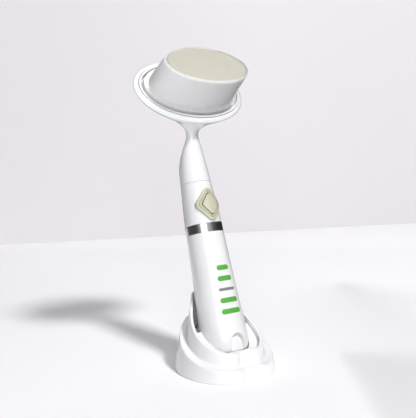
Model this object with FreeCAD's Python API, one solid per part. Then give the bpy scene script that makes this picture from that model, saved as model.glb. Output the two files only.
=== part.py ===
"""A battery-powered facial cleansing brush standing in its table stand.

Millimetres, +Z up. The origin is the centre of the stand's foot circle, on the surface it stands on.
The front of the brush, with its button and bristles, faces -Y, and the handle leans back towards +Y.
Handle parts are drawn upright, with the handle's axis as their Z, and are then tilted into the stand.
Head parts are drawn on a flat XY plane, with the bristles pointing along Z, and are then put on the neck.
"""
import FreeCAD, Part
import math
import os

V = FreeCAD.Vector
UP = V(0, 0, 1)
SIDE = V(1, 0, 0)

# Driving dimensions
LEAN = 18.9                  # handle's lean back from the vertical, degrees
HEAD_TILT = 73.5             # bristle direction, degrees forward of the handle's axis
AXIS_AT_TABLE = -4.1         # Y where the handle's axis would meet the table
WALL = 1.3                   # general plastic wall
RUNNING_FIT = 0.05           # radial play where one piece slides in another

# Handle: stations along its axis, measured from the table plane, and radii there
BARREL_FOOT = 8.0
BARREL_FOOT_RADIUS = 10.9
BARREL_WIDE = 15.5           # the barrel is widest here and narrows below, to find its way into the stand
BARREL_WIDE_RADIUS = 11.53
BARREL_MID = 48.0
BARREL_MID_RADIUS = 9.95
BARREL_TOP = 65.4
RING_RADIUS = 9.25
RING_TOP = 70.0
SEAM = 91.0
SEAM_RADIUS = 7.7
FOOT_ROUND = 1.6             # rounding at the barrel's lower edge
BARREL_FLOOR = 1.6
THICK_FOOT_TOP = 19.0        # the barrel's foot is thick below here, to carry the notch
THICK_FOOT_BORE = 8.2

# Notch at the foot of the barrel, which fits over the key inside the stand
NOTCH_HALF = 3.6
NOTCH_TOP = 16.2
NOTCH_DEPTH = 2.0

# Battery, an AA cell
CELL_RADIUS = 7.1
CELL_FOOT = 12.0
CELL_LENGTH = 47.6
NUB_RADIUS = 2.75
NUB_LENGTH = 1.2
SPRING_WIRE = 0.3            # radius of its wire
SPRING_RADII = (5.2, 2.8)    # at the foot and at the top
SPRING_TURNS = 3

# Plug that joins the upper unit to the barrel
PLUG_RADIUS = 7.9
PLUG_TOP = 69.6
SEAL_AT = 63.0
SEAL_HEIGHT = 1.3
SEAL_GROOVE = 0.7

# Button, set in the front of the upper housing
BUTTON_AT = 78.9
BEZEL_HALF = (7.3, 10.0)     # half width, half height of the rhombus
PAD_HALF = (4.3, 6.1)
PAD_PLAY = 0.5
BEZEL_PROUD = 1.0
BEZEL_GROOVE = (1.4, 1.75)   # groove in the frame, between these distances out from the pad
GROOVE_DEPTH = 0.45
PAD_PROUD = 1.5
PAD_BACK = 0.9
BUTTON_TRAVEL = 0.6

# Circuit board and switch
BOARD_FRONT = 4.2            # distance in front of the handle's axis
BOARD_THICK = 1.0
BOARD_HALF_WIDTH = 4.8
BOARD_FOOT = 71.5
BOARD_TOP = 85.4
SWITCH_SIZE = 4.2
SWITCH_HEIGHT = 1.6
PLUNGER_RADIUS = 1.0
PLUNGER_PROUD = 0.8

# Motor
MOTOR_FOOT = 87.0
MOTOR_TOP = 98.6
MOTOR_RADIUS = 4.4
SHAFT_RADIUS = 0.75
SHAFT_TOP = 104.0
WEIGHT_FOOT = 100.4
WEIGHT_HEIGHT = 3.0
WEIGHT_RADIUS = 3.3
WIRE_RADIUS = 0.35

# Neck, and the dish behind the bristles: the front point and the back point of each cross-section, as
# (distance behind the handle's axis, station), and its half width
NECK = [((-7.7, 91.0), (7.7, 91.0), 7.7), ((-7.25, 96.5), (7.25, 96.5), 7.35),
        ((-6.9, 101.5), (6.0, 101.5), 6.8), ((-6.8, 106.5), (3.4, 106.5), 5.7),
        ((-7.0, 111.0), (0.4, 111.0), 4.2), ((-7.8, 115.0), (-2.0, 116.0), 3.0),
        ((-9.2, 117.0), (-2.8, 121.0), 5.0)]
DISH = NECK[-1:] + [((-10.9, 117.8), (-2.0, 129.5), 11.5), ((-12.6, 117.9), (-1.0, 140.0), 20.5),
                    ((-14.0, 117.8), (-1.4, 149.0), 27.5)]
NECK_HOLLOW = [(6.4, 6.4, SEAM, 0), (6.0, 6.0, 96.5, 0), (5.3, 5.0, 102, -0.4), (4.4, 3.9, 105.5, -1.2)]

# Head
HEAD_STATION = 136.3
HEAD_FORWARD = 9.8
SEAT_HALF = (28.9, 17.1)     # half width, half height of the trim ring's seat
RING_WIDTH = 1.0
RING_GROOVE = 0.25           # groove round the trim ring
RING_CREST = 1.75
RECESS_HALF = (27.6, 15.8)
RECESS_FLOOR = -1.5
SEAT_FLOOR = -0.7
FLANGE_FACE = [(31.2, 19.4, 0, 0), (30.9, 19.1, 0.5, 0), (30.0, 18.2, 1.05, 0), (28.1, 16.3, 1.6, 0)]
PLATE_PLAY = 1.1             # open gap between the brush's plate and the ring
PLATE_BACK = -0.8
PLATE_FRONT = 2.6
PEG_AT = 14.0
PEG_RADIUS = 2.0
PEG_LENGTH = 3.2

# Bristles
TUFT_FOOT_HALF = (24.6, 12.8)
TUFT_TOP_HALF = (23.7, 10.8)
TUFT_FOOT = 3.4
TUFT_TOP = 20.7
BRISTLE_RIM = 1.1            # width of the outer ring of bristles

# Stand
SKIRT = [(24.3, 24.3, 0, 0), (23.8, 23.8, 3.5, 0), (22.6, 22.7, 9, 0.2), (21.2, 21.6, 16, 0.8),
         (20.2, 20.8, 22, 1.4)]
COLLAR = [(19.6, 19.6, 2, 0), (18.3, 18.3, 12, 0.1), (17.1, 17.8, 20, 0.7), (15.0, 17.9, 28, 1.8),
          (12.8, 18.0, 35, 2.9), (11.6, 18.0, 40, 3.6)]
LEDGE_ARC = [(-26, 5.6), (-4, 9.0), (26, 26.5)]
RIM_ARC = [(-20, 10.8), (2.0, 20.6), (20, 40.0)]
BACK_HEIGHT = 34.0           # the collar is cut level here, behind the handle
SHELL_WALL = 1.6
CHANNEL_DEPTH = 2.5
CHANNEL_HALF = (5.7, 2.5)    # half width at the foot and at the channel's top
CHANNEL_TOP = 22.0
CHANNEL_SOFT = 2.4           # half the width over which each of its sides slopes in
LINER_DROP = 3.2             # the socket's lip lies this far below the rim
LINER_WALL = 1.4
LINER_BACK = (3.0, 17.0)     # behind this Y the liner stops at this height, and the stand is open
SOCKET_PLAY = 0.15
BASE_FOOT = 0.9
BASE_TOP = 2.3


# Placing

def on_handle(shape):
    """Tilts a shape drawn on the handle's axis into its place in the stand."""
    placed = shape.copy()
    placed.rotate(V(0, 0, 0), SIDE, -LEAN)
    placed.translate(V(0, AXIS_AT_TABLE, 0))
    return placed


def on_neck(shape):
    """Puts a shape drawn on the flange's plane onto the neck, still in the handle's own frame."""
    placed = shape.copy()
    placed.rotate(V(0, 0, 0), SIDE, HEAD_TILT)
    placed.translate(V(0, -HEAD_FORWARD, HEAD_STATION))
    return placed


def on_head(shape):
    """Puts a shape drawn on the flange's plane into its final place."""
    return on_handle(on_neck(shape))


# Small shapes

def rod(radius, low, high, x=0.0, y=0.0):
    """Upright cylinder between two stations."""
    return Part.makeCylinder(radius, high - low, V(x, y, low))


def tube(outer, inner, low, high):
    """Upright pipe between two stations."""
    return rod(outer, low, high).cut(rod(inner, low, high))


def block(x_range, y_range, z_range):
    """Box between limits on each axis."""
    size = [high - low for low, high in (x_range, y_range, z_range)]
    return Part.makeBox(*size, V(x_range[0], y_range[0], z_range[0]))


def turned(outline):
    """Solid turned about the Z axis from (radius, station) points."""
    corners = [V(r, 0, s) for r, s in outline]
    return Part.Face(Part.makePolygon(corners + corners[:1])).revolve(V(0, 0, 0), UP, 360)


def forward_rod(radius, near, far, x, station):
    """Cylinder pointing to the handle's front, between two distances in front of its axis."""
    return Part.makeCylinder(radius, far - near, V(x, -near, station), V(0, -1, 0))


def fused(shapes):
    """One solid from several that touch."""
    return shapes[0].multiFuse(shapes[1:])


def oval(half_width, half_height, height, shift=0.0):
    """Closed ellipse wire in a flat plane, moved along Y by its shift."""
    long_half = max(half_width, half_height)
    short_half = min(half_width, half_height)
    if long_half - short_half < 1e-6:
        return Part.Wire([Part.makeCircle(long_half, V(0, shift, height))])
    curve = Part.Ellipse(V(0, 0, 0), long_half, short_half).toShape()
    if half_height > half_width:
        curve.rotate(V(0, 0, 0), UP, 90)
    curve.translate(V(0, shift, height))
    return Part.Wire([curve])


def ring_wire(half_width, half_height, height, shift=0.0):
    """Smooth closed wire through points of an ellipse, all starting at the same place for lofting."""
    points = []
    for step in range(32):
        angle = math.radians(360 * step / 32)
        points.append(V(half_width * math.cos(angle), shift + half_height * math.sin(angle), height))
    curve = Part.BSplineCurve()
    curve.interpolate(points, PeriodicFlag=True)
    return Part.Wire([curve.toShape()])


def smooth_loft(sections, inset=0.0, straight=False):
    """Solid through ovals given as (half width, half height, height, shift), drawn in by an inset."""
    wires = [ring_wire(a - inset, b - inset, z, shift) for a, b, z, shift in sections]
    return Part.makeLoft(wires, True, straight)


def slanted_oval(front, back, half_width):
    """Oval wire between a front and a back point given as (y, station)."""
    middle = V(0, (front[0] + back[0]) / 2, (front[1] + back[1]) / 2)
    reach = V(0, (back[0] - front[0]) / 2, (back[1] - front[1]) / 2)
    points = []
    for step in range(32):
        angle = math.radians(360 * step / 32)
        points.append(middle + SIDE * (half_width * math.cos(angle)) + reach * math.sin(angle))
    curve = Part.BSplineCurve()
    curve.interpolate(points, PeriodicFlag=True)
    return Part.Wire([curve.toShape()])


def flange_point(height):
    """Where a point on the flange's upright middle line lies, as (y, station)."""
    tilt = math.radians(HEAD_TILT)
    return (height * math.cos(tilt) - HEAD_FORWARD, height * math.sin(tilt) + HEAD_STATION)


def slanted_loft(sections):
    """Smooth solid through slanted ovals."""
    return Part.makeLoft([slanted_oval(*section) for section in sections], True, False)


def oval_plate(half, low, high):
    """Straight oval plate on the head's plane."""
    return Part.Face(oval(half[0], half[1], low)).extrude(V(0, 0, high - low))


def oval_band(half, width, low, high):
    """Oval ring of an even width on the head's plane."""
    return oval_plate(half, low, high).cut(oval_plate(shrunk(half, width), low, high))


def shrunk(half, by):
    """Half sizes of an oval or rhombus drawn in by the same distance all round."""
    return (half[0] - by, half[1] - by)


def rhombus_prism(half, corner, near, far):
    """Rounded rhombus pointing to the front at the button's place, between two distances from the axis."""
    points = [V(half[0], 0, 0), V(0, 0, half[1]), V(-half[0], 0, 0), V(0, 0, -half[1])]
    prism = Part.Face(Part.makePolygon(points + points[:1])).extrude(V(0, near - far, 0))
    upright = [e for e in prism.Edges if abs(e.tangentAt(e.FirstParameter).y) > 0.9]
    prism = prism.makeFillet(corner, upright)
    prism.translate(V(0, -near, BUTTON_AT))
    return prism


def outer_radius(station):
    """Outer radius of the handle's straight part at a station."""
    marks = [(BARREL_FOOT, BARREL_FOOT_RADIUS), (BARREL_WIDE, BARREL_WIDE_RADIUS),
             (BARREL_MID, BARREL_MID_RADIUS), (BARREL_TOP, RING_RADIUS), (RING_TOP, RING_RADIUS),
             (SEAM, SEAM_RADIUS)]
    for (low, r_low), (high, r_high) in zip(marks, marks[1:]):
        if station <= high:
            return r_low + (r_high - r_low) * (station - low) / (high - low)
    return SEAM_RADIUS


def upper_cone(offset, low=RING_TOP, high=SEAM):
    """Solid cone following the upper housing's surface, wider by an offset."""
    slope = (SEAM_RADIUS - RING_RADIUS) / (SEAM - RING_TOP)
    radii = [RING_RADIUS + slope * (s - RING_TOP) + offset for s in (low, high)]
    return Part.makeCone(radii[0], radii[1], high - low, V(0, 0, low))


def write(name, shape):
    """Writes one node's STEP file, saying so when the shape isn't sound."""
    if not shape.isValid() or shape.Volume <= 0:
        print("unsound shape:", name)
    shape.exportStep(f"parts/{name}.step")


# Stand

def space_above(arc_points, drop=0.0):
    """Everything above a curve drawn from the side as three (y, z) points."""
    first, middle, last = [V(-60, y, z - drop) for y, z in arc_points]
    roof = [V(-60, last.y, 90), V(-60, first.y, 90)]
    edges = [Part.Arc(first, middle, last).toShape(), Part.makeLine(last, roof[0]),
             Part.makeLine(roof[0], roof[1]), Part.makeLine(roof[1], first)]
    return Part.Face(Part.Wire(edges)).extrude(V(120, 0, 0))


def stand_angles():
    """Directions of the points round the stand, close together at the front where the channel is."""
    return list(range(-60, 240, 15)) + list(range(240, 300, 2))


def channel_share(x, height, wider):
    """How much of the channel's depth is reached at a distance from the stand's middle line."""
    half = CHANNEL_HALF[0] + (CHANNEL_HALF[1] - CHANNEL_HALF[0]) * height / CHANNEL_TOP + wider
    across = min(1.0, max(0.0, (half + CHANNEL_SOFT - abs(x)) / (2 * CHANNEL_SOFT)))
    return across * across * (3 - 2 * across)


def stand_wire(section, inset):
    """Oval round the stand, drawn in by an inset, with the channel's dent at its front."""
    half_width, half_height, height, shift = section
    points = []
    for angle in stand_angles():
        turn = math.radians(angle)
        x = (half_width - inset) * math.cos(turn)
        y = shift + (half_height - inset) * math.sin(turn)
        if y < 0:
            y += CHANNEL_DEPTH * channel_share(x, height, inset)
        points.append(V(x, y, height))
    curve = Part.BSplineCurve()
    marks = [float(angle) for angle in stand_angles() + [300]]
    curve.interpolate(points, PeriodicFlag=True, Parameters=marks)
    return Part.Wire([curve.toShape()])


def stand_loft(sections, inset):
    """Smooth solid through the stand's ovals."""
    return Part.makeLoft([stand_wire(section, inset) for section in sections], True, False)


def stand_form(inset, drop):
    """The stand's body drawn in by an inset: skirt, sloping ledge and collar."""
    skirt = stand_loft(SKIRT, inset).cut(space_above(LEDGE_ARC, drop))
    collar = stand_loft(COLLAR, inset).cut(space_above(RIM_ARC))
    collar = collar.common(block((-30, 30), (-30, 30), (0, BACK_HEIGHT)))
    return skirt.fuse(collar).cut(space_above(RIM_ARC))


def barrel_room(offset, low):
    """Room in which the barrel slides out of the stand, wider than the barrel by an offset."""
    foot, wide = BARREL_FOOT_RADIUS + offset, BARREL_WIDE_RADIUS + offset
    return on_handle(turned([(0, low), (foot, low), (wide, BARREL_WIDE), (wide, 60), (0, 60)]))


def shell_inside(play):
    """Room inside the shell, smaller by a play all round."""
    return stand_form(SHELL_WALL + play, SHELL_WALL + play)


def make_stand_shell():
    """Outer shell with the channel down its front."""
    return stand_form(0, 0).cut(shell_inside(0)).cut(barrel_room(SOCKET_PLAY, BARREL_FOOT))


def make_stand_socket():
    """Socket for the barrel: a tube with a floor, hung from a sloping deck inside the shell."""
    inside = shell_inside(0.1)
    deck = inside.cut(space_above(RIM_ARC, LINER_DROP)).common(space_above(RIM_ARC, LINER_DROP + LINER_WALL))
    cup = barrel_room(SOCKET_PLAY + LINER_WALL, BARREL_FOOT - LINER_WALL)
    cup = cup.common(inside).cut(space_above(RIM_ARC, LINER_DROP))
    open_back = block((-30, 30), (LINER_BACK[0], 30), (LINER_BACK[1], 45))
    return deck.fuse(cup).cut(barrel_room(SOCKET_PLAY, BARREL_FOOT)).cut(open_back)


def make_stand_base_plate():
    """Plate that closes the stand from below, with a pocket for the socket's lowest corner."""
    plate = rod(SKIRT[0][0], BASE_FOOT, BASE_TOP).common(shell_inside(0.3))
    for x, y in screw_places():
        plate = plate.cut(rod(1.3, BASE_FOOT - 1, BASE_TOP + 1, x, y))
    pocket = barrel_room(SOCKET_PLAY + LINER_WALL + 0.3, BARREL_FOOT - LINER_WALL - 0.3)
    return plate.cut(pocket)


def make_stand_ballast():
    """Crescent of steel on the base plate, in front of the socket, that keeps the stand upright."""
    crescent = tube(20.4, 8.0, BASE_TOP, BASE_TOP + 2.4).common(shell_inside(0.4))
    keep_clear = barrel_room(SOCKET_PLAY + LINER_WALL + 0.5, BARREL_FOOT - LINER_WALL - 0.6)
    crescent = crescent.cut(keep_clear).common(block((-30, 30), (-30, 6), (0, 20)))
    for x, y in screw_places():
        crescent = crescent.cut(rod(2.8, 0, 20, x, y))
    return crescent


def screw_places():
    """Screw positions round the base plate."""
    return [(17.5 * math.cos(math.radians(a)), 17.5 * math.sin(math.radians(a))) for a in (30, 150, 215, 325)]


def make_stand_screws():
    """Screws through the base plate."""
    pieces = []
    for x, y in screw_places():
        head = rod(2.3, BASE_FOOT - 0.5, BASE_FOOT, x, y)
        slot = block((x - 1.6, x + 1.6), (y - 0.3, y + 0.3), (BASE_FOOT - 0.6, BASE_FOOT - 0.2))
        pieces.append(head.fuse(rod(1.2, BASE_FOOT, BASE_TOP + 2.5, x, y)).cut(slot))
    return Part.makeCompound(pieces)


def make_stand_feet():
    """Rubber pad under the base plate, level with the shell's lower edge."""
    return rod(14.0, 0, BASE_FOOT)


# Barrel

def barrel_notch(depth):
    """Arched notch at the front of the barrel's foot."""
    arch = forward_rod(NOTCH_HALF, 0, 30, 0, NOTCH_TOP - NOTCH_HALF)
    legs = block((-NOTCH_HALF, NOTCH_HALF), (-30, 0), (BARREL_FOOT - 1, NOTCH_TOP - NOTCH_HALF))
    slope = (BARREL_MID_RADIUS - BARREL_WIDE_RADIUS) / (BARREL_MID - BARREL_WIDE)
    low, high = BARREL_FOOT - 2, BARREL_FOOT + 14
    core_ends = [BARREL_WIDE_RADIUS + slope * (s - BARREL_WIDE) - depth for s in (low, high)]
    core = Part.makeCone(core_ends[0], core_ends[1], high - low, V(0, 0, low))
    return arch.fuse(legs).cut(core)


def make_barrel_sleeve():
    """Barrel with a closed foot, a thick lower wall, ribs for the cell and a mouth for the plug."""
    mouth_foot = plug_foot() - 0.5
    mouth = PLUG_RADIUS + RUNNING_FIT
    skin = turned([(0, BARREL_FOOT), (BARREL_FOOT_RADIUS - FOOT_ROUND, BARREL_FOOT),
                   (BARREL_FOOT_RADIUS - 0.5, BARREL_FOOT + 0.5),
                   (BARREL_FOOT_RADIUS, BARREL_FOOT + FOOT_ROUND), (11.3, 11.9), (11.48, 13.7),
                   (BARREL_WIDE_RADIUS, BARREL_WIDE), (BARREL_MID_RADIUS, BARREL_MID),
                   (RING_RADIUS, BARREL_TOP), (0, BARREL_TOP)])
    floor_top = BARREL_FOOT + BARREL_FLOOR
    bore = turned([(0, floor_top), (THICK_FOOT_BORE, floor_top), (THICK_FOOT_BORE, THICK_FOOT_TOP),
                   (outer_radius(THICK_FOOT_TOP + 2) - WALL, THICK_FOOT_TOP + 2),
                   (outer_radius(BARREL_MID) - WALL, BARREL_MID), (mouth, mouth_foot),
                   (mouth, BARREL_TOP), (0, BARREL_TOP)])
    rib_foot, rib_top = THICK_FOOT_TOP - 0.5, BARREL_MID - 1
    rib_ends = [outer_radius(station) - WALL / 2 for station in (rib_foot, rib_top)]
    ribs = []
    for angle in (45, 135, 225, 315):
        rib = block((CELL_RADIUS + 0.25, 13), (-0.6, 0.6), (rib_foot, rib_top))
        rib = rib.common(Part.makeCone(rib_ends[0], rib_ends[1], rib_top - rib_foot, V(0, 0, rib_foot)))
        rib.rotate(V(0, 0, 0), UP, angle)
        ribs.append(rib)
    hollow = skin.cut(bore).cut(barrel_notch(NOTCH_DEPTH))
    return fused([hollow] + ribs)


def plug_foot():
    """Station of the plug's lower face, just above the cell's contact."""
    return CELL_FOOT + CELL_LENGTH + NUB_LENGTH + 0.3


def make_negative_contact():
    """Disc under the battery spring."""
    floor_top = BARREL_FOOT + BARREL_FLOOR
    return rod(6.4, floor_top, floor_top + 0.3)


def coil_point(half, foot, rise):
    """Middle of the spring's wire after a number of half turns, from one side to the other."""
    share = half / (2 * SPRING_TURNS)
    radius = SPRING_RADII[0] + (SPRING_RADII[1] - SPRING_RADII[0]) * share
    return V(radius * (-1) ** half, 0, foot + rise * share)


def make_battery_spring():
    """Conical coil spring between the contact disc and the cell, made of half turns."""
    foot = BARREL_FOOT + BARREL_FLOOR + 0.3 + SPRING_WIRE
    rise = CELL_FOOT - SPRING_WIRE - 0.05 - foot
    coils = []
    for half in range(2 * SPRING_TURNS):
        start, end = coil_point(half, foot, rise), coil_point(half + 1, foot, rise)
        disc = Part.Face(Part.Wire([Part.makeCircle(SPRING_WIRE, start, V(0, 1, 0))]))
        turning = V(0, 1, 0).cross(end - start) * (-1) ** half
        coils.append(disc.revolve((start + end) * 0.5, turning, 180))
    return fused(coils)


def make_ground_strip():
    """Strip that carries the current up the inside of the barrel, at the back."""
    inner = CELL_RADIUS + 0.2
    riser = block((-1.4, 1.4), (inner, inner + 0.3), (BARREL_FOOT + BARREL_FLOOR, plug_foot() - 0.35))
    disc_top = BARREL_FOOT + BARREL_FLOOR + 0.3
    tail = block((-1.4, 1.4), (5.6, inner + 0.3), (disc_top, disc_top + 0.3))
    return riser.fuse(tail)


# Battery

def make_battery_cell():
    """Body of the cell, with small roundings at both ends."""
    top = CELL_FOOT + CELL_LENGTH
    edge = 0.6
    return turned([(0, CELL_FOOT), (CELL_RADIUS - edge, CELL_FOOT), (CELL_RADIUS, CELL_FOOT + edge),
                   (CELL_RADIUS, top - edge), (CELL_RADIUS - edge, top), (0, top)])


def make_battery_terminal():
    """Raised positive end of the cell."""
    top = CELL_FOOT + CELL_LENGTH
    return rod(NUB_RADIUS, top, top + NUB_LENGTH)


# Upper unit

def make_chrome_ring():
    """Bright ring between the barrel and the upper housing."""
    low = BARREL_TOP + 0.05
    return tube(RING_RADIUS, PLUG_RADIUS + 0.02, low, RING_TOP)


def make_upper_housing():
    """Upper housing with a window for the button."""
    hollow = upper_cone(-WALL)
    window = rhombus_prism(grown(PAD_HALF, PAD_PLAY), 1.5, 3, 14)
    seam_groove = tube(SEAM_RADIUS + 1, SEAM_RADIUS - 0.2, SEAM - 0.25, SEAM)
    return upper_cone(0).cut(hollow).cut(window).cut(seam_groove)


def grown(half, by):
    """Half sizes of a rhombus grown by the same distance all round."""
    return (half[0] + by, half[1] + by)


def make_carrier():
    """Plug and chassis that hold the board and the motor."""
    foot = plug_foot()
    plug = turned([(0.85, foot), (PLUG_RADIUS, foot), (PLUG_RADIUS, SEAL_AT),
                   (PLUG_RADIUS - SEAL_GROOVE, SEAL_AT),
                   (PLUG_RADIUS - SEAL_GROOVE, SEAL_AT + SEAL_HEIGHT), (PLUG_RADIUS, SEAL_AT + SEAL_HEIGHT),
                   (PLUG_RADIUS, PLUG_TOP), (6.5, PLUG_TOP), (6.5, 65.5), (0.85, 65.5)])
    back = block((-4.6, 4.6), (2.0, 3.2), (65.0, MOTOR_FOOT + 1))
    board_back = BOARD_FRONT - BOARD_THICK
    posts = [forward_rod(0.9, -2.0, board_back, x, s) for x in (-3.6, 3.6) for s in (74.0, 79.5)]
    cradle = tube(MOTOR_RADIUS + 1.1, MOTOR_RADIUS + 0.02, MOTOR_FOOT, MOTOR_TOP - 1.5)
    cradle = cradle.cut(block((-2.5, 2.5), (-9, 0), (MOTOR_FOOT - 1, MOTOR_TOP)))
    return fused([plug, back.cut(rod(MOTOR_RADIUS + 0.02, MOTOR_FOOT, MOTOR_TOP))] + posts + [cradle])


def make_seal_ring():
    """Rubber ring in the plug's groove."""
    inner = PLUG_RADIUS - SEAL_GROOVE + 0.02
    return tube(PLUG_RADIUS, inner, SEAL_AT + 0.1, SEAL_AT + SEAL_HEIGHT - 0.1)


def make_positive_contact():
    """Disc and rivet under the plug that touch the cell's positive end."""
    foot = plug_foot()
    return rod(3.2, foot - 0.3, foot).fuse(rod(0.8, foot, 66.3))


def make_ground_contact():
    """Tab under the plug's rim that meets the ground strip."""
    foot = plug_foot()
    return block((-1.6, 1.6), (6.6, 7.75), (foot - 0.3, foot))


def make_circuit_board():
    """Board behind the button."""
    return block((-BOARD_HALF_WIDTH, BOARD_HALF_WIDTH), (-BOARD_FRONT, BOARD_THICK - BOARD_FRONT),
                 (BOARD_FOOT, BOARD_TOP))


def make_board_parts():
    """Chip, capacitor and resistors on the front of the board."""
    chip = block((-2.2, 2.2), (-BOARD_FRONT - 1.0, -BOARD_FRONT), (73.0, 76.4))
    capacitor = forward_rod(1.1, BOARD_FRONT, BOARD_FRONT + 0.9, 3.3, 77.6)
    chips = [block((x, x + 1.0), (-BOARD_FRONT - 0.5, -BOARD_FRONT), (s, s + 0.7))
             for x, s in ((-4.2, 77.2), (-4.2, 79.0), (-4.2, 74.0), (3.0, 73.2), (-1.8, 84.2), (0.8, 84.2))]
    return Part.makeCompound([chip, capacitor] + chips)


def make_tactile_switch():
    """Switch body on the board, behind the button."""
    half = SWITCH_SIZE / 2
    depths = (-BOARD_FRONT - SWITCH_HEIGHT, -BOARD_FRONT)
    body = block((-half, half), depths, (BUTTON_AT - half, BUTTON_AT + half))
    well = forward_rod(PLUNGER_RADIUS + RUNNING_FIT, BOARD_FRONT + 0.3, BOARD_FRONT + 3, 0, BUTTON_AT)
    return body.cut(well)


def plunger_tip():
    """Distance of the plunger's end in front of the axis."""
    return BOARD_FRONT + SWITCH_HEIGHT + PLUNGER_PROUD


def make_switch_plunger():
    """Plunger of the switch, free to go in by the button's travel."""
    foot = plunger_tip() - PLUNGER_PROUD - BUTTON_TRAVEL
    return forward_rod(PLUNGER_RADIUS, foot, plunger_tip(), 0, BUTTON_AT)


def make_button_bezel():
    """Raised rhombus frame round the button pad, following the housing's curve."""
    frame = rhombus_prism(BEZEL_HALF, 2.8, 3, 14).common(upper_cone(BEZEL_PROUD))
    inner, outer = [rhombus_prism(grown(PAD_HALF, by), 1.8, 3, 14) for by in BEZEL_GROOVE]
    frame = frame.cut(outer.cut(inner).cut(upper_cone(BEZEL_PROUD - GROOVE_DEPTH)))
    return frame.cut(upper_cone(0)).cut(rhombus_prism(grown(PAD_HALF, PAD_PLAY), 1.5, 2, 15))


def make_button_pad():
    """Button pad, with the stem that pushes the switch."""
    pad = rhombus_prism(PAD_HALF, 1.4, 3, 14).common(upper_cone(PAD_PROUD)).cut(upper_cone(-PAD_BACK))
    stem = forward_rod(1.3, plunger_tip(), outer_radius(BUTTON_AT) - 0.3, 0, BUTTON_AT)
    return pad.fuse(stem)


# Motor

def make_motor_can():
    """Motor body with its bearing boss."""
    return rod(MOTOR_RADIUS, MOTOR_FOOT, MOTOR_TOP).fuse(rod(1.6, MOTOR_TOP, MOTOR_TOP + 0.8)).cut(
        rod(SHAFT_RADIUS + RUNNING_FIT, MOTOR_FOOT + 2, MOTOR_TOP + 2))


def make_motor_cap():
    """Plastic end cap of the motor, with two terminal blades."""
    low, high = MOTOR_FOOT - 2.0, MOTOR_FOOT - 0.8
    cap = rod(3.8, high, MOTOR_FOOT).cut(block((-6, 6), (1.9, 6), (low, MOTOR_FOOT + 1)))
    blades = [block((x - 0.5, x + 0.5), (-0.2, 0.2), (low, high)) for x in (-2.4, 2.4)]
    return fused([cap] + blades)


def make_motor_wire(x):
    """Wire from a motor terminal down and forward to the board."""
    top, bend, board = MOTOR_FOOT - 2.0, 1.2, BOARD_FRONT - BOARD_THICK
    low = top - 0.8
    corner = bend * (1 - math.sqrt(0.5))
    edges = [Part.makeLine(V(x, 0, top), V(x, 0, low)),
             Part.Arc(V(x, 0, low), V(x, -corner, low - bend + corner), V(x, -bend, low - bend)).toShape(),
             Part.makeLine(V(x, -bend, low - bend), V(x, -board, low - bend))]
    section = Part.Wire([Part.makeCircle(WIRE_RADIUS, V(x, 0, top), UP)])
    return Part.Wire(edges).makePipeShell([section], True, True)


def make_motor_shaft():
    """Motor shaft."""
    return rod(SHAFT_RADIUS, MOTOR_FOOT + 2.2, SHAFT_TOP)


def make_eccentric_weight():
    """Off-centre weight on the shaft that makes the head vibrate."""
    top = WEIGHT_FOOT + WEIGHT_HEIGHT
    hub = rod(1.6, WEIGHT_FOOT, top)
    sector = rod(WEIGHT_RADIUS, WEIGHT_FOOT, top).common(block((-5, 5), (-5, 0), (WEIGHT_FOOT, top)))
    return hub.fuse(sector).cut(rod(SHAFT_RADIUS, WEIGHT_FOOT - 1, top + 1))


# Head

def make_neck_housing():
    """Neck that narrows forward and opens into the dish behind the bristles."""
    half_width, half_height = FLANGE_FACE[0][:2]
    flange = (flange_point(-half_height), flange_point(half_height), half_width)
    neck = slanted_loft(NECK).fuse(slanted_loft(DISH + [flange]))
    neck = neck.fuse(on_neck(smooth_loft(FLANGE_FACE, 0, True)))
    neck = neck.cut(smooth_loft(NECK_HOLLOW))
    neck = neck.cut(on_neck(oval_plate(SEAT_HALF, SEAT_FLOOR, 5)))
    neck = neck.cut(on_neck(oval_plate(RECESS_HALF, RECESS_FLOOR, 5)))
    for x in (-PEG_AT, PEG_AT):
        neck = neck.cut(on_neck(rod(PEG_RADIUS + RUNNING_FIT, PLATE_BACK - PEG_LENGTH - 0.2, 5, x)))
    return neck


def make_head_ring():
    """Oval trim ring between the flange and the brush."""
    return oval_band(shrunk(SEAT_HALF, RING_GROOVE), RING_WIDTH, SEAT_FLOOR, RING_CREST)


def plate_half():
    """Half sizes of the brush's backing plate."""
    return shrunk(RECESS_HALF, PLATE_PLAY)


def make_brush_plate():
    """Backing plate of the removable brush, with its pegs and the raised bed of the bristles."""
    plate = oval_plate(plate_half(), PLATE_BACK, PLATE_FRONT)
    edge, tip = shrunk(plate_half(), 0.2), grown(TUFT_FOOT_HALF, 0.3)
    bed = smooth_loft([edge + (PLATE_FRONT, 0), tip + (TUFT_FOOT, 0)], 0, True)
    pegs = [rod(PEG_RADIUS, PLATE_BACK - PEG_LENGTH, PLATE_BACK, x) for x in (-PEG_AT, PEG_AT)]
    return fused([plate, bed] + pegs)


def make_brush_gasket():
    """Soft ring behind the brush plate."""
    return oval_band(shrunk(plate_half(), 0.6), 1.8, RECESS_FLOOR + 0.2, PLATE_BACK)


def tuft(inset):
    """Solid block of bristles, drawn in by an inset."""
    foot = TUFT_FOOT_HALF + (TUFT_FOOT, 0)
    top = TUFT_TOP_HALF + (TUFT_TOP, 0)
    return smooth_loft([foot, top], inset)


def make_bristle_ring():
    """Outer ring of bristles."""
    return tuft(0).cut(tuft(BRISTLE_RIM))


def make_bristle_pad():
    """Inner field of bristles."""
    return tuft(BRISTLE_RIM + 0.05)


os.makedirs("parts", exist_ok=True)

write("stand_shell", make_stand_shell())
write("stand_socket", make_stand_socket())
write("stand_base_plate", make_stand_base_plate())
write("stand_ballast", make_stand_ballast())
write("stand_screws", make_stand_screws())
write("stand_feet", make_stand_feet())

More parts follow.
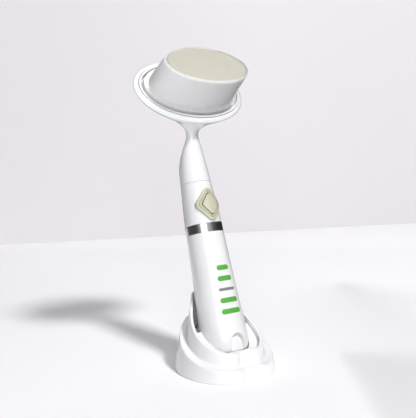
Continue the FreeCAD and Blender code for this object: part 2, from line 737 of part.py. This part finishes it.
write("barrel_sleeve", on_handle(make_barrel_sleeve()))
write("negative_contact", on_handle(make_negative_contact()))
write("battery_spring", on_handle(make_battery_spring()))
write("ground_strip", on_handle(make_ground_strip()))
write("battery_cell", on_handle(make_battery_cell()))
write("battery_terminal", on_handle(make_battery_terminal()))

write("chrome_ring", on_handle(make_chrome_ring()))
write("upper_housing", on_handle(make_upper_housing()))
write("carrier", on_handle(make_carrier()))
write("seal_ring", on_handle(make_seal_ring()))
write("positive_contact", on_handle(make_positive_contact()))
write("ground_contact", on_handle(make_ground_contact()))
write("circuit_board", on_handle(make_circuit_board()))
write("board_parts", on_handle(make_board_parts()))
write("tactile_switch", on_handle(make_tactile_switch()))
write("switch_plunger", on_handle(make_switch_plunger()))
write("button_bezel", on_handle(make_button_bezel()))
write("button_pad", on_handle(make_button_pad()))
write("motor_can", on_handle(make_motor_can()))
write("motor_cap", on_handle(make_motor_cap()))
write("motor_wire_red", on_handle(make_motor_wire(2.4)))
write("motor_wire_black", on_handle(make_motor_wire(-2.4)))
write("motor_shaft", on_handle(make_motor_shaft()))
write("eccentric_weight", on_handle(make_eccentric_weight()))

write("neck_housing", on_handle(make_neck_housing()))
write("head_ring", on_head(make_head_ring()))
write("brush_plate", on_head(make_brush_plate()))
write("brush_gasket", on_head(make_brush_gasket()))
write("bristle_ring", on_head(make_bristle_ring()))
write("bristle_pad", on_head(make_bristle_pad()))
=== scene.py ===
"""Looks for the facial cleansing brush in its table stand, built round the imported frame.

Metres, +Z up. The brush's front faces -Y. Sizes below are in millimetres, unless they say otherwise. Handle
pieces are placed by (x, depth, station), where station runs up the handle's leaning axis and depth points to
the back. Head pieces are placed by (x, height, out), where height runs up the flange and out is the way the
bristles point.
"""
import math

import bpy
import numpy as np
from mathutils import Matrix, Vector


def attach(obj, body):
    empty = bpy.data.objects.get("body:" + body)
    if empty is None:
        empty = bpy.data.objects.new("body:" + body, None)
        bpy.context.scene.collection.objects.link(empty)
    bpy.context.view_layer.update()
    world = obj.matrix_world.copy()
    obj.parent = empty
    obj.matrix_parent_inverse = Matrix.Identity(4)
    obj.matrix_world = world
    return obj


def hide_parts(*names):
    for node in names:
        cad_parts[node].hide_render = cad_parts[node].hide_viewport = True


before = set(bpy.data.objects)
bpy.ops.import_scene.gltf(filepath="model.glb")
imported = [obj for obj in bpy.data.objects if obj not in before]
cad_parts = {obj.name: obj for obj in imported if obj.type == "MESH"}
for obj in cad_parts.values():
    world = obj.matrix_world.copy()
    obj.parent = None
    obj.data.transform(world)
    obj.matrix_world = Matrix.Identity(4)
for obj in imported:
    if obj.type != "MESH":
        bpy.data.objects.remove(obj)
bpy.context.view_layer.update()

MM = 0.001
LEAN = math.radians(18.9)          # of the handle, back from upright
HEAD_TILT = math.radians(73.5)     # of the bristles' direction, forward from the handle's axis
AXIS_AT_TABLE = -4.1               # Y where the handle's axis would meet the table
HEAD_STATION = 136.3               # middle of the flange, up the handle's axis
HEAD_FORWARD = 9.8                 # and in front of it
BARREL_LOW = (8.0, 11.9)           # station and radius of two points on the barrel's straight taper
BARREL_HIGH = (48.0, 9.95)
SEED = 7

rng = np.random.default_rng(SEED)


# Placing

HANDLE = Matrix.Translation((0, AXIS_AT_TABLE * MM, 0)) @ Matrix.Rotation(-LEAN, 4, "X") @ Matrix.Scale(MM, 4)
HEAD = HANDLE @ Matrix.Translation((0, -HEAD_FORWARD, HEAD_STATION)) @ Matrix.Rotation(HEAD_TILT, 4, "X")


def placed(points, matrix):
    """Array of points in millimetres, moved by a matrix into the frame's metres."""
    m = np.array(matrix)
    return points @ m[:3, :3].T + m[:3, 3]


def barrel_radius(station):
    """Barrel's outer radius at a station."""
    (low, low_radius), (high, high_radius) = BARREL_LOW, BARREL_HIGH
    return low_radius + (high_radius - low_radius) * (station - low) / (high - low)


# Materials

WHITE = (0.86, 0.86, 0.87)
BEIGE = (0.56, 0.54, 0.41)
NICKEL = (0.70, 0.68, 0.62)
STEEL = (0.62, 0.62, 0.63)
BLACK = (0.03, 0.03, 0.03)
GRAIN_HEIGHT = 0.1
CELL_SHOULDER = (43.0, 43.5)       # stations between which the cell's print turns from dark to copper


def new_material(name):
    """Empty node material with its output and shader."""
    mat = bpy.data.materials.new(name)
    mat.use_nodes = True
    nodes = mat.node_tree.nodes
    return mat, nodes, mat.node_tree.links, nodes["Principled BSDF"]


def mapped_noise(nodes, links, scale, detail, stretch=(1, 1, 1)):
    """Noise texture over object coordinates."""
    coord = nodes.new("ShaderNodeTexCoord")
    mapping = nodes.new("ShaderNodeMapping")
    mapping.inputs["Scale"].default_value = stretch
    links.new(coord.outputs["Object"], mapping.inputs["Vector"])
    noise = nodes.new("ShaderNodeTexNoise")
    noise.inputs["Scale"].default_value = scale
    noise.inputs["Detail"].default_value = detail
    links.new(mapping.outputs["Vector"], noise.inputs["Vector"])
    return noise


def ramp(nodes, links, source, low, high, start=0.3, end=0.7):
    """Colour ramp between two colours."""
    node = nodes.new("ShaderNodeValToRGB")
    node.color_ramp.elements[0].position = start
    node.color_ramp.elements[1].position = end
    node.color_ramp.elements[0].color = low
    node.color_ramp.elements[1].color = high
    links.new(source, node.inputs["Fac"])
    return node


def grain_bump(nodes, links, noise, strength):
    """Bump from a noise, as high as moulding grain."""
    bump = nodes.new("ShaderNodeBump")
    bump.inputs["Strength"].default_value = strength
    bump.inputs["Distance"].default_value = GRAIN_HEIGHT * MM
    links.new(noise.outputs["Fac"], bump.inputs["Height"])
    return bump


def surface(name, color, roughness, grain_depth=0.02, metal=0.0, shade=0.03, edge=0.0, coat=0.0,
            stretch=(1, 1, 1), spread=0.05):
    """General moulded or metal surface: slight drift of colour and roughness, and a fine grain.

    stretch draws the grain out into brush marks, and edge is the radius of the edges' softened shading.
    """
    mat, nodes, links, shader = new_material(name)
    drift = mapped_noise(nodes, links, 60, 3)
    dark = tuple(c * (1 - shade) for c in color) + (1,)
    light = tuple(min(1, c * (1 + shade * 0.5)) for c in color) + (1,)
    tint = ramp(nodes, links, drift.outputs["Fac"], dark, light)
    links.new(tint.outputs["Color"], shader.inputs["Base Color"])
    wear = mapped_noise(nodes, links, 220, 5, stretch)
    low, high = max(0.02, roughness - spread), min(1, roughness + spread)
    gloss = ramp(nodes, links, wear.outputs["Fac"], (low,) * 3 + (1,), (high,) * 3 + (1,))
    links.new(gloss.outputs["Color"], shader.inputs["Roughness"])
    shader.inputs["Metallic"].default_value = metal
    shader.inputs["Coat Weight"].default_value = coat
    shader.inputs["Coat Roughness"].default_value = 0.06
    fine = mapped_noise(nodes, links, 900, 6, stretch)
    bump = grain_bump(nodes, links, fine, grain_depth)
    if edge:
        bevel = nodes.new("ShaderNodeBevel")
        bevel.samples = 6
        bevel.inputs["Radius"].default_value = edge * MM
        links.new(bevel.outputs["Normal"], bump.inputs["Normal"])
    links.new(bump.outputs["Normal"], shader.inputs["Normal"])
    return mat


def fibre_material(name, dark, light):
    """Bristle filaments: a small drift of colour from one to the next, and a fine grain."""
    mat, nodes, links, shader = new_material(name)
    drift = mapped_noise(nodes, links, 2600, 2)
    tint = ramp(nodes, links, drift.outputs["Fac"], dark + (1,), light + (1,), 0.25, 0.75)
    links.new(tint.outputs["Color"], shader.inputs["Base Color"])
    shader.inputs["Roughness"].default_value = 0.55
    shader.inputs["Subsurface Weight"].default_value = 0.15
    shader.inputs["Subsurface Radius"].default_value = (0.002, 0.002, 0.002)
    fine = mapped_noise(nodes, links, 5200, 3)
    bump = grain_bump(nodes, links, fine, 0.15)
    links.new(bump.outputs["Normal"], shader.inputs["Normal"])
    return mat


materials = {
    "stand_shell": surface("stand_gloss", WHITE, 0.22, edge=0.45, coat=0.3, grain_depth=0.03),
    "stand_socket": surface("socket_satin", (0.80, 0.80, 0.81), 0.38, edge=0.3),
    "stand_base_plate": surface("base_satin", (0.60, 0.60, 0.61), 0.5, grain_depth=0.2),
    "stand_ballast": surface("ballast_steel", (0.5, 0.5, 0.52), 0.42, metal=1, stretch=(1, 12, 1)),
    "stand_screws": surface("screw_steel", STEEL, 0.3, metal=1, edge=0.1),
    "stand_feet": surface("foot_rubber", (0.06, 0.06, 0.065), 0.75, grain_depth=0.3, shade=0.2),
    "barrel_sleeve": surface("barrel_gloss", WHITE, 0.18, edge=0.4, coat=0.4),
    "negative_contact": surface("contact_nickel", NICKEL, 0.25, metal=1),
    "battery_spring": surface("spring_wire", (0.66, 0.66, 0.66), 0.22, metal=1),
    "ground_strip": surface("strip_nickel", NICKEL, 0.25, metal=1),
    "battery_terminal": surface("terminal_nickel", (0.72, 0.71, 0.67), 0.22, metal=1, edge=0.2),
    "chrome_ring": surface("ring_chrome", (0.80, 0.80, 0.82), 0.26, metal=1, grain_depth=0.008, edge=0.25,
                           shade=0.01, spread=0.02),
    "upper_housing": surface("housing_gloss", WHITE, 0.18, edge=0.2, coat=0.4),
    "carrier": surface("carrier_plastic", (0.20, 0.21, 0.23), 0.45, grain_depth=0.15, edge=0.15),
    "seal_ring": surface("seal_rubber", BLACK, 0.6, shade=0.2),
    "positive_contact": surface("rivet_nickel", (0.72, 0.70, 0.62), 0.25, metal=1, edge=0.1),
    "ground_contact": surface("tab_nickel", NICKEL, 0.25, metal=1),
    "circuit_board": surface("board_mask", (0.02, 0.13, 0.05), 0.35, shade=0.25, coat=0.3),
    "board_parts": surface("chip_epoxy", BLACK, 0.5, grain_depth=0.2, shade=0.2, edge=0.05),
    "tactile_switch": surface("switch_plastic", (0.05, 0.05, 0.05), 0.45, edge=0.08),
    "switch_plunger": surface("plunger_plastic", (0.62, 0.58, 0.45), 0.4, edge=0.1),
    "motor_can": surface("motor_steel", STEEL, 0.3, metal=1, stretch=(12, 12, 1), edge=0.2),
    "motor_cap": surface("motor_nylon", (0.80, 0.80, 0.74), 0.5, edge=0.1),
    "motor_wire_red": surface("wire_red", (0.45, 0.02, 0.02), 0.4),
    "motor_wire_black": surface("wire_black", (0.02, 0.02, 0.02), 0.4),
    "motor_shaft": surface("shaft_steel", (0.70, 0.70, 0.71), 0.15, metal=1),
    "eccentric_weight": surface("weight_brass", (0.62, 0.45, 0.20), 0.3, metal=1, edge=0.15),
    "neck_housing": surface("neck_gloss", WHITE, 0.18, edge=0.5, coat=0.4),
    "head_ring": surface("trim_gloss", (0.82, 0.82, 0.83), 0.22, edge=0.3, coat=0.2),
    "brush_plate": surface("plate_gloss", WHITE, 0.25, edge=0.3, coat=0.2),
    "brush_gasket": surface("gasket_rubber", (0.45, 0.45, 0.46), 0.6),
    "button_bezel": surface("bezel_beige", BEIGE, 0.33, edge=0.35, grain_depth=0.06),
    "button_pad": surface("pad_beige", BEIGE, 0.38, edge=0.35, grain_depth=0.08),
}


def sleeve_material():
    """Printed sleeve of the cell: a dark body and a copper-coloured shoulder, told apart by the station."""
    mat, nodes, links, shader = new_material("cell_sleeve")
    coord = nodes.new("ShaderNodeTexCoord")
    mapping = nodes.new("ShaderNodeMapping")
    mapping.inputs["Rotation"].default_value = (LEAN, 0, 0)
    links.new(coord.outputs["Object"], mapping.inputs["Vector"])
    split = nodes.new("ShaderNodeSeparateXYZ")
    links.new(mapping.outputs["Vector"], split.inputs["Vector"])
    bands = nodes.new("ShaderNodeMapRange")
    bands.inputs["From Min"].default_value = CELL_SHOULDER[0] * MM
    bands.inputs["From Max"].default_value = CELL_SHOULDER[1] * MM
    links.new(split.outputs["Z"], bands.inputs["Value"])
    dark = (0.02, 0.022, 0.026, 1)
    copper = (0.55, 0.27, 0.11, 1)
    tint = ramp(nodes, links, bands.outputs["Result"], dark, copper, 0, 1)
    links.new(tint.outputs["Color"], shader.inputs["Base Color"])
    shader.inputs["Metallic"].default_value = 0.6
    wear = mapped_noise(nodes, links, 300, 5)
    gloss = ramp(nodes, links, wear.outputs["Fac"], (0.22, 0.22, 0.22, 1), (0.34, 0.34, 0.34, 1))
    links.new(gloss.outputs["Color"], shader.inputs["Roughness"])
    return mat


materials["battery_cell"] = sleeve_material()
for node_name, material in materials.items():
    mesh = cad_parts[node_name].data
    mesh.materials.clear()
    mesh.materials.append(material)


# Softened outline of the stand, which is moulded with rounded edges

SOFT_VOXEL = 0.45
SOFT_ROUNDS = 4


def soften(obj, voxel, rounds):
    """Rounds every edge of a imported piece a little, with modifiers only."""
    remesh = obj.modifiers.new("even_mesh", "REMESH")
    remesh.mode = "VOXEL"
    remesh.voxel_size = voxel * MM
    remesh.use_smooth_shade = True
    relax = obj.modifiers.new("rounded", "SMOOTH")
    relax.factor = 0.5
    relax.iterations = rounds


soften(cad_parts["stand_shell"], SOFT_VOXEL, SOFT_ROUNDS)


# Bristles

FOOT = (24.6, 12.8, 3.4)           # half width, half height and place along the bristles
TOP = (23.7, 10.8, 20.7)
RIM_FOOT = 3.42                    # where the white filaments start, along the bristles
FIELD_FOOT = 15.0                  # and where the beige ones do, inside the core
TIP_DROP = 0.05                    # how far the longest filament stays below the tuft's top
RIM_WIDTH = 1.1                    # of the white band, at the top
RIM_ROWS = ((430, 0.985), (425, 0.972))    # filaments in each outer row, and its share of the oval
FIELD_EDGE = 0.985                 # the field's filaments stay inside this share of the oval's area
SPACING = 0.42
ROW_PITCH = SPACING * 0.866
JITTER = SPACING * 0.12
FIBRE = 0.21                       # filament's radius at the foot
TAPER = 0.8                        # and its share of that at the tip
SWAY = 0.10                        # how far a tip strays sideways
SHORTFALL = 0.16                   # and how far it stays short
EDGE_DROP = 0.55                   # how much lower the filaments end at the very edge
EDGE_START = 0.93
SIDES = 5
# Share of the length, share of the thickness, and how far the shading turns up
RINGS = ((0.0, 1.0, 0.05), (0.93, 1.0, 0.35), (1.0, 0.55, 1.4))
OWN_SHARE = 0.3                    # how much of a filament's own roundness shows in its shading
SKIRT = (0.80, 0.15)               # share of the oval's area where shading starts to turn outward, and span
CORE_INSET = 0.75
CORE_TOP = 19.3


def mesh_object(name, verts, faces, material, smooth=False):
    """Mesh object from vertices in metres."""
    mesh = bpy.data.meshes.new(name)
    mesh.from_pydata([tuple(v) for v in verts], [], [tuple(f) for f in faces])
    mesh.materials.append(material)
    if smooth:
        mesh.polygons.foreach_set("use_smooth", [True] * len(mesh.polygons))
    obj = bpy.data.objects.new(name, mesh)
    bpy.context.scene.collection.objects.link(obj)
    return obj


def field_places():
    """Filament places over the tuft's foot, as (x, y) from -1 to 1 of the oval, in jittered offset rows."""
    rows = int(FOOT[1] / ROW_PITCH) + 2
    columns = int(FOOT[0] / SPACING) + 2
    row, column = np.mgrid[-rows:rows + 1, -columns:columns + 1]
    x = (column + 0.5 * (row % 2)) * SPACING
    y = row * ROW_PITCH
    points = np.stack([x.ravel(), y.ravel()], 1)
    points += rng.normal(0, JITTER, points.shape)
    unit = points / np.array(FOOT[:2])
    return unit[(unit ** 2).sum(1) < FIELD_EDGE]


def rim_places(count, ratio):
    """Filament places evenly along an oval row, at a share of the way to the foot's edge."""
    angle = np.linspace(0, 2 * math.pi, 4096)
    arc = np.hypot(FOOT[0] * np.sin(angle), FOOT[1] * np.cos(angle))
    length = np.concatenate([[0], np.cumsum((arc[1:] + arc[:-1]) / 2)])
    even = np.interp(np.linspace(0, length[-1], count, endpoint=False), length, angle)
    return np.stack([np.cos(even), np.sin(even)], 1) * ratio


def in_rim(unit):
    """Whether each place belongs to the white band of bristles."""
    x = unit[:, 0] * TOP[0] / (TOP[0] - RIM_WIDTH)
    y = unit[:, 1] * TOP[1] / (TOP[1] - RIM_WIDTH)
    return x ** 2 + y ** 2 > 1


def fibre_normals(unit, angle, rise):
    """Shading directions of one side of the filaments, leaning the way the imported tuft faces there."""
    own = np.stack([np.cos(angle), np.sin(angle), np.zeros(len(unit))], 1)
    outward = np.stack([unit[:, 0] / FOOT[0], unit[:, 1] / FOOT[1], np.zeros(len(unit))], 1)
    outward /= np.maximum(np.linalg.norm(outward, axis=1, keepdims=True), 1e-9)
    skirt_start, skirt_span = SKIRT
    outward *= np.clip(((unit ** 2).sum(1, keepdims=True) - skirt_start) / skirt_span, 0, 1)
    return OWN_SHARE * own + outward + np.array([0, 0, rise])


def fibre_faces(count):
    """Side faces and end caps of the filaments, whose points run side by side and ring by ring."""
    last = (len(RINGS) - 1) * SIDES
    faces = []
    for base in range(0, count * SIDES * len(RINGS), SIDES * len(RINGS)):
        for ring in range(len(RINGS) - 1):
            for side in range(SIDES):
                a = base + ring * SIDES + side
                b = base + ring * SIDES + (side + 1) % SIDES
                faces.append((a, b, b + SIDES, a + SIDES))
        faces.append(tuple(base + last + side for side in range(SIDES)))
        faces.append(tuple(base + side for side in reversed(range(SIDES))))
    return faces


def fibres(name, unit, low, material):
    """Filaments as slim rods with narrowed tips, from a low place along the bristles to the tuft's top."""
    count = len(unit)
    turn = rng.uniform(0, 2 * math.pi, count)
    sway = rng.normal(0, SWAY, (count, 2))
    tip = TOP[2] - TIP_DROP - np.abs(rng.normal(0, SHORTFALL, count))
    distance = np.sqrt((unit ** 2).sum(1))
    tip = tip - EDGE_DROP * np.clip((distance - EDGE_START) / (1 - EDGE_START), 0, 1) ** 2
    verts, normals = [], []
    for level, size, rise in RINGS:
        out = low + (tip - low) * level
        along = ((out - FOOT[2]) / (TOP[2] - FOOT[2]))[:, None]
        half = (1 - along) * np.array(FOOT[:2]) + along * np.array(TOP[:2])
        centre = unit * half + sway * level
        thick = FIBRE * size * (1 - (1 - TAPER) * level)
        for side in range(SIDES):
            angle = turn + 2 * math.pi * side / SIDES
            x = centre[:, 0] + thick * np.cos(angle)
            y = centre[:, 1] + thick * np.sin(angle)
            verts.append(np.stack([x, y, out], 1))
            normals.append(fibre_normals(unit, angle, rise))
    cloud = np.stack(verts, 1).reshape(-1, 3)
    obj = mesh_object(name, placed(cloud, HEAD), fibre_faces(count), material, smooth=True)
    facing = np.stack(normals, 1).reshape(-1, 3) @ np.array(HEAD)[:3, :3].T
    facing /= np.linalg.norm(facing, axis=1, keepdims=True)
    obj.data.normals_split_custom_set_from_vertices(facing.tolist())
    return obj


def tuft_core(name, inset, low, high, material):
    """Solid block inside the filaments, so that no light shows through them."""
    steps = 96
    verts = []
    for out in (low, high):
        along = (out - FOOT[2]) / (TOP[2] - FOOT[2])
        half = [f + (t - f) * along - inset for f, t in zip(FOOT[:2], TOP[:2])]
        for k in range(steps):
            a = 2 * math.pi * k / steps
            verts.append((half[0] * math.cos(a), half[1] * math.sin(a), out))
    faces = [(k, (k + 1) % steps, steps + (k + 1) % steps, steps + k) for k in range(steps)]
    faces.append(tuple(range(steps, 2 * steps)))
    faces.append(tuple(reversed(range(steps))))
    return mesh_object(name, placed(np.array(verts), HEAD), faces, material)


rim_fibre = fibre_material("bristle_white", (0.82, 0.82, 0.82), (0.92, 0.92, 0.92))
field_fibre = fibre_material("bristle_beige", (0.50, 0.48, 0.413), (0.585, 0.563, 0.49))

field = field_places()
rim_mask = in_rim(field)
rim_unit = np.concatenate([field[rim_mask]] + [rim_places(count, ratio) for count, ratio in RIM_ROWS])
rim_tuft = fibres("bristle_rim_fibres", rim_unit, RIM_FOOT, rim_fibre)
field_tuft = fibres("bristle_field_fibres", field[~rim_mask], FIELD_FOOT, field_fibre)
core = tuft_core("bristle_core", CORE_INSET, RIM_FOOT, CORE_TOP, rim_fibre)
for piece in (rim_tuft, field_tuft, core):
    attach(piece, "brush_head")
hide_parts("bristle_ring")
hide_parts("bristle_pad")


# Printed accent on the barrel

PRINT_HEIGHT = 0.04                # above the barrel's skin
PILL_POINTS = 24


def crossing(outline, x):
    """Lowest and highest station of a closed outline at one x."""
    found = []
    for (x0, s0), (x1, s1) in zip(outline, outline[1:] + outline[:1]):
        if x0 != x1 and min(x0, x1) - 1e-9 <= x <= max(x0, x1) + 1e-9:
            found.append(s0 + (s1 - s0) * (x - x0) / (x1 - x0))
    return min(found), max(found)


def barrel_patch(name, outline, material):
    """Thin print that follows the barrel's front, from an outline of (x along the surface, station)."""
    columns, rows = 24, 12
    left = min(p[0] for p in outline)
    right = max(p[0] for p in outline)
    verts, faces = [], []
    for column in range(columns + 1):
        x = left + (right - left) * column / columns
        low, high = crossing(outline, x)
        for row in range(rows + 1):
            station = low + (high - low) * row / rows
            radius = barrel_radius(station) + PRINT_HEIGHT
            angle = x / radius
            verts.append((radius * math.sin(angle), -radius * math.cos(angle), station))
    for column in range(columns):
        for row in range(rows):
            a = column * (rows + 1) + row
            faces.append((a, a + rows + 1, a + rows + 2, a + 1))
    return mesh_object(name, placed(np.array(verts), HANDLE), faces, material, smooth=True)


def pill(centre, half_width, half_height):
    """Outline of a bar with round ends, lying across the barrel."""
    points = []
    for k in range(PILL_POINTS):
        a = 2 * math.pi * (k + 0.5) / PILL_POINTS
        shift = math.copysign(half_width - half_height, math.cos(a))
        points.append((shift + half_height * math.cos(a), centre + half_height * math.sin(a)))
    return points


print_green = surface("print_green", (0.10, 0.42, 0.06), 0.3, shade=0.06)
print_grey = surface("print_grey", (0.22, 0.23, 0.23), 0.3, shade=0.06)
# Each bar's station, half width, half height and colour
ACCENTS = [(47.5, 3.4, 1.2, print_green), (42.3, 4.0, 1.2, print_green), (37.1, 4.6, 0.7, print_grey),
           (31.9, 5.0, 1.2, print_green), (26.7, 5.5, 1.2, print_green)]
for index, (station, half_width, half_height, material) in enumerate(ACCENTS):
    bar = barrel_patch(f"barrel_accent_{index + 1}", pill(station, half_width, half_height), material)
    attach(bar, "barrel")


# Stage, light and camera: places and sizes in metres

STAGE_SIZE = 8.0
FLOOR_TONE = (0.955, 0.955, 0.975)
WALL_TONE = (0.76, 0.737, 0.76)
WALL_FOOT = (0.2534, 0.3408, 0)
WALL_YAW = math.radians(-15.06)
CAMERA_PLACE = (-0.171434, -0.238879, 0.109983)
CAMERA_AIM = (-0.008375, 0.002141, 0.076571)
CAMERA_LENS = 54.35                # in millimetres, as is the sensor's width
CAMERA_SENSOR = 36


def plane(name, size, matrix, material):
    """Flat square of the stage."""
    half = size / 2
    obj = mesh_object(name, [(-half, -half, 0), (half, -half, 0), (half, half, 0), (-half, half, 0)],
                      [(0, 1, 2, 3)], material)
    obj.matrix_world = matrix
    return obj


def stage_material(name, color, roughness):
    """Plain stage surface with a faint drift of tone."""
    mat, nodes, links, shader = new_material(name)
    drift = mapped_noise(nodes, links, 1.5, 2)
    dark = tuple(c * 0.985 for c in color) + (1,)
    tint = ramp(nodes, links, drift.outputs["Fac"], dark, color + (1,))
    links.new(tint.outputs["Color"], shader.inputs["Base Color"])
    shader.inputs["Roughness"].default_value = roughness
    shader.inputs["Specular IOR Level"].default_value = 0.1
    return mat


plane("stage_floor", STAGE_SIZE, Matrix.Identity(4), stage_material("floor_white", FLOOR_TONE, 0.6))
upright = Matrix.Rotation(WALL_YAW, 4, "Z") @ Matrix.Rotation(math.radians(90), 4, "X")
wall = Matrix.Translation(WALL_FOOT) @ upright
plane("stage_wall", STAGE_SIZE, wall, stage_material("wall_white", WALL_TONE, 0.8))


def area_light(name, place, target, size, power):
    """Square soft light."""
    data = bpy.data.lights.new(name, "AREA")
    data.size = size
    data.energy = power
    data.cycles.use_multiple_importance_sampling = False
    obj = bpy.data.objects.new(name, data)
    obj.location = place
    obj.rotation_euler = (Vector(target) - Vector(place)).to_track_quat("-Z", "Y").to_euler()
    bpy.context.scene.collection.objects.link(obj)


area_light("key", (0.19, -0.96, 1.38), (0, 0.02, 0.06), 0.26, 21.2)
area_light("front_box", (-0.82, -1.15, 0.52), (0, 0, 0.08), 0.63, 8.0)
area_light("top", (0.0, 0.1, 1.1), (0, 0, 0), 1.2, 0.9)


def flag(name, place, facing, width, height, tone, shades):
    """Dark card that the camera doesn't see: reflections do, and so does bounced light if it shades."""
    mat, _, _, shader = new_material(name + "_card")
    shader.inputs["Base Color"].default_value = (tone, tone, tone, 1)
    shader.inputs["Roughness"].default_value = 1.0
    turned = Vector(facing).to_track_quat("Z", "Y").to_matrix().to_4x4()
    stretch = Matrix.Diagonal((width, height, 1, 1))
    obj = plane(name, 1.0, Matrix.Translation(place) @ turned @ stretch, mat)
    obj.visible_camera = False
    obj.visible_diffuse = shades
    obj.visible_shadow = False


flag("stage_flag_left", (-0.24, 0.13, 0.30), (0.24, -0.13, 0), 0.5, 0.6, 0.01, True)
flag("stage_flag_right", (0.11, -0.05, 0.18), (-0.11, 0.05, 0), 0.32, 0.36, 0.02, True)
flag("stage_flag_back", (0.17, 0.27, 0.40), (-0.17, -0.27, 0), 1.4, 0.8, 0.05, False)
flag("stage_flag_low", (0.10, -0.14, 0.045), (-0.3, 0.2, 1), 0.17, 0.22, 0.02, True)

world = bpy.data.worlds.new("studio")
bpy.context.scene.world = world
world.use_nodes = True
world.node_tree.nodes["Background"].inputs["Color"].default_value = (0.97, 0.97, 1.0, 1)
world.node_tree.nodes["Background"].inputs["Strength"].default_value = 0.13

camera_data = bpy.data.cameras.new("camera")
camera_data.lens = CAMERA_LENS
camera_data.sensor_width = CAMERA_SENSOR
camera = bpy.data.objects.new("camera", camera_data)
camera.location = CAMERA_PLACE
camera.rotation_euler = (Vector(CAMERA_AIM) - camera.location).to_track_quat("-Z", "Y").to_euler()
bpy.context.scene.collection.objects.link(camera)
bpy.context.scene.camera = camera
bpy.context.scene.view_settings.view_transform = "Standard"
